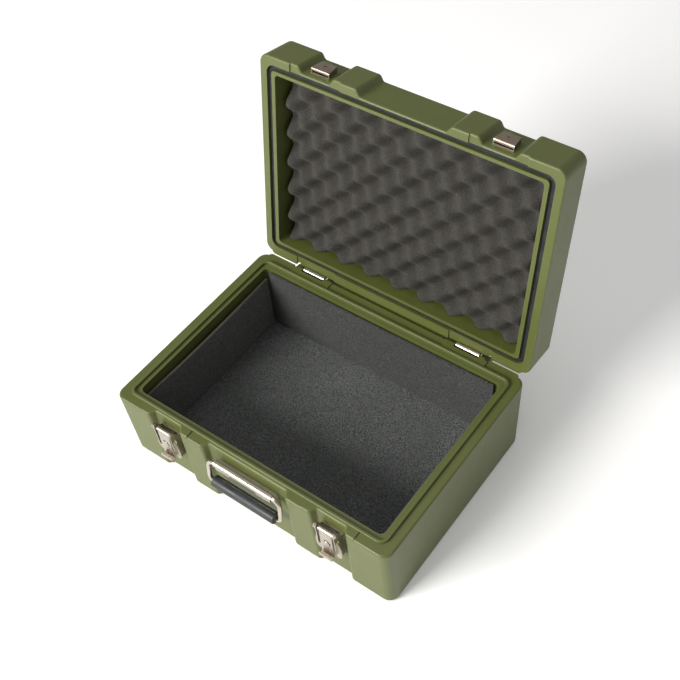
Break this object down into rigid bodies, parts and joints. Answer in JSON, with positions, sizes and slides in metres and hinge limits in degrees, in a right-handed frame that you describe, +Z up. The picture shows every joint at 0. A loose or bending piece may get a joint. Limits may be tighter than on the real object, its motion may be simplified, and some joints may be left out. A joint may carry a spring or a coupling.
{
  "type": "hard equipment case",
  "caption": "Rectangular moulded equipment case with hinged lid, draw latches, bail handle and foam lining.",
  "frame": {"origin": "centre of the base's flat underside", "axes": "+Z up, +X along the case's width to its right seen from the front, -Y towards the handle and latches, hinges at +Y"},
  "size_m": [0.45, 0.446, 0.4443],
  "materials": {
    "shell_green": "fine moulded texture, satin",
    "foam_charcoal": "open-cell foam, matt",
    "foam_eggcrate": "open-cell foam, matt",
    "gasket_black": "matt rubber",
    "bright_steel": "bright nickel plate",
    "rod_steel": "bright nickel plate",
    "hinge_steel": "satin stainless",
    "pin_steel": "satin",
    "rivet_steel": "satin",
    "grip_black": "semi-matt moulded grip"
  },
  "bodies": {
    "base": {"base_shell": "shell_green", "foam_floor": "foam_charcoal", "foam_left": "foam_charcoal", "foam_right": "foam_charcoal", "foam_back": "foam_charcoal", "foam_front": "foam_charcoal", "handle_bracket": "bright_steel", "handle_rivets": "rivet_steel", "latch_base_l": "bright_steel", "latch_pivot_l_a": "pin_steel", "latch_pivot_l_b": "pin_steel", "latch_rivets_l": "rivet_steel", "hinge_base_leaf_l": "hinge_steel", "hinge_pin_l": "pin_steel", "hinge_base_rivets_l": "rivet_steel", "latch_base_r": "bright_steel", "latch_pivot_r_a": "pin_steel", "latch_pivot_r_b": "pin_steel", "latch_rivets_r": "rivet_steel", "hinge_base_leaf_r": "hinge_steel", "hinge_pin_r": "pin_steel", "hinge_base_rivets_r": "rivet_steel"},
    "lid": {"lid_shell": "shell_green", "lid_gasket": "gasket_black", "lid_foam": "foam_eggcrate", "hinge_lid_leaf_l": "hinge_steel", "hinge_lid_rivets_l": "rivet_steel", "keeper_l": "bright_steel", "keeper_rivet_l": "rivet_steel", "hinge_lid_leaf_r": "hinge_steel", "hinge_lid_rivets_r": "rivet_steel", "keeper_r": "bright_steel", "keeper_rivet_r": "rivet_steel"},
    "handle": {"handle_bail": "rod_steel", "handle_grip": "grip_black"},
    "lever_l": {"latch_lever_l": "bright_steel", "latch_claw_pin_l": "pin_steel"},
    "claw_l": {"latch_claw_l": "bright_steel"},
    "lever_r": {"latch_lever_r": "bright_steel", "latch_claw_pin_r": "pin_steel"},
    "claw_r": {"latch_claw_r": "bright_steel"}
  },
  "joints": [
    {"name": "lid_hinge", "type": "hinge", "parent": "base", "child": "lid", "pos_m": [0, 0.16507, 0.12194], "axis": [1, 0, 0], "range_deg": [0, 98.53]},
    {"name": "handle_swing", "type": "hinge", "parent": "base", "child": "handle", "pos_m": [0, -0.1625, 0.105], "axis": [1, 0, 0], "range_deg": [-90, 0]},
    {"name": "lever_swing_l", "type": "hinge", "parent": "base", "child": "lever_l", "pos_m": [-0.1354, -0.166, 0.115], "axis": [1, 0, 0], "range_deg": [-150, 0]},
    {"name": "claw_swing_l", "type": "hinge", "parent": "lever_l", "child": "claw_l", "pos_m": [-0.1354, -0.1639, 0.109], "axis": [-1, 0, 0], "range_deg": [0, 180]},
    {"name": "lever_swing_r", "type": "hinge", "parent": "base", "child": "lever_r", "pos_m": [0.1354, -0.166, 0.115], "axis": [1, 0, 0], "range_deg": [-150, 0]},
    {"name": "claw_swing_r", "type": "hinge", "parent": "lever_r", "child": "claw_r", "pos_m": [0.1354, -0.1639, 0.109], "axis": [-1, 0, 0], "range_deg": [0, 180]}
  ]
}
